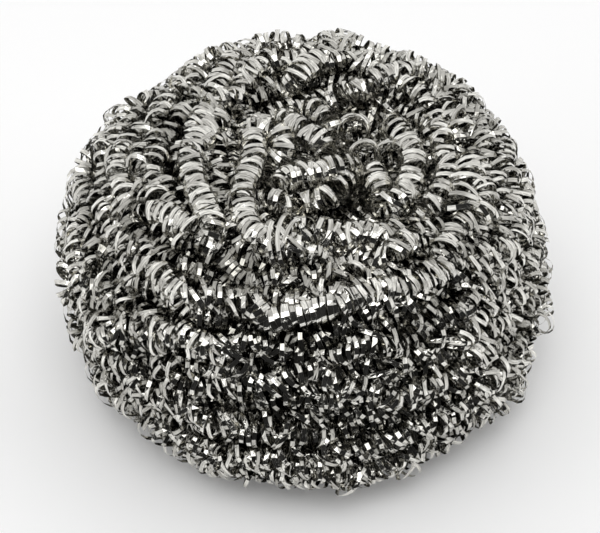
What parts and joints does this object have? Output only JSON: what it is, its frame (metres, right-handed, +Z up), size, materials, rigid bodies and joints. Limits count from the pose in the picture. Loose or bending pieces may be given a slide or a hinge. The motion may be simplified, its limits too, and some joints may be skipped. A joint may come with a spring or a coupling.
{
  "type": "stainless steel scourer",
  "caption": "Bun-shaped scouring ball of bright coiled steel ribbon, wound up rope upon rope, with a dimple on top where the winding closes.",
  "frame": {"origin": "on the table, under the middle of the ball", "axes": "+Z up, along the axis that the ropes are wound round; -Y is the front of the picture"},
  "size_m": [0.0904, 0.088, 0.051],
  "materials": {
    "bright_steel": "bright rolled stainless steel ribbon"
  },
  "bodies": {
    "root": {"wound_ribbon": "bright_steel"}
  },
  "joints": []
}
